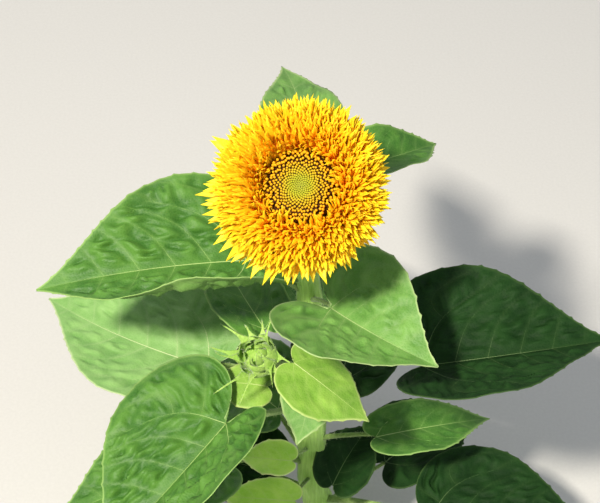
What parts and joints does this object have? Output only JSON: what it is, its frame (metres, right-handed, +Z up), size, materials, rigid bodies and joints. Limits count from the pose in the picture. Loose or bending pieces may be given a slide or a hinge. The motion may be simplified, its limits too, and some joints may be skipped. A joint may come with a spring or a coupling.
{
  "type": "sunflower plant",
  "caption": "Rooted dwarf sunflower plant: a leaning tapered stem, broad heart-shaped leaves all round, a nodding pompon bloom and a green side bud.",
  "frame": {"origin": "middle of the main stem's flat cut at ground level", "axes": "+Z up; +Y away from the camera of the picture, +X to its right"},
  "size_m": [0.4771, 0.3837, 0.5733],
  "materials": {
    "stem": "soft pale green, finely hairy",
    "leaf": "satin mid green, puckered between pale veins",
    "young_leaf": "satin yellow-green, pale midrib",
    "bud": "matt pale green, finely hairy",
    "cup": "matt green, finely hairy",
    "ray": "soft lemon to golden yellow",
    "floret": "soft golden yellow, orange in the depth",
    "disc": "matt yellow-green with dark brown gaps"
  },
  "bodies": {
    "root": {"bloom_cup": "cup", "bloom_disc": "disc", "bloom_florets": "floret", "bloom_rays": "ray", "bud": "bud", "bud_branch": "stem", "leaf_back_low": "leaf", "leaf_back_low_left": "leaf", "leaf_back_mid": "leaf", "leaf_back_right": "young_leaf", "leaf_back_tall": "leaf", "leaf_behind_bud": "young_leaf", "leaf_foot_back_right": "leaf", "leaf_foot_front_left": "leaf", "leaf_foot_front_right": "leaf", "leaf_foot_left": "leaf", "leaf_foot_right": "young_leaf", "leaf_left": "leaf", "leaf_low_left_pale": "young_leaf", "leaf_low_left_small": "young_leaf", "leaf_low_right": "leaf", "leaf_low_right_front": "leaf", "leaf_lower_left_back": "leaf", "leaf_lower_left_front": "leaf", "leaf_right": "leaf", "leaf_small_front": "young_leaf", "leaf_small_lower_front": "young_leaf", "leaf_under_upper_left": "leaf", "leaf_upper_left": "leaf", "leaf_upper_right_front": "young_leaf", "stem": "stem"}
  },
  "joints": []
}
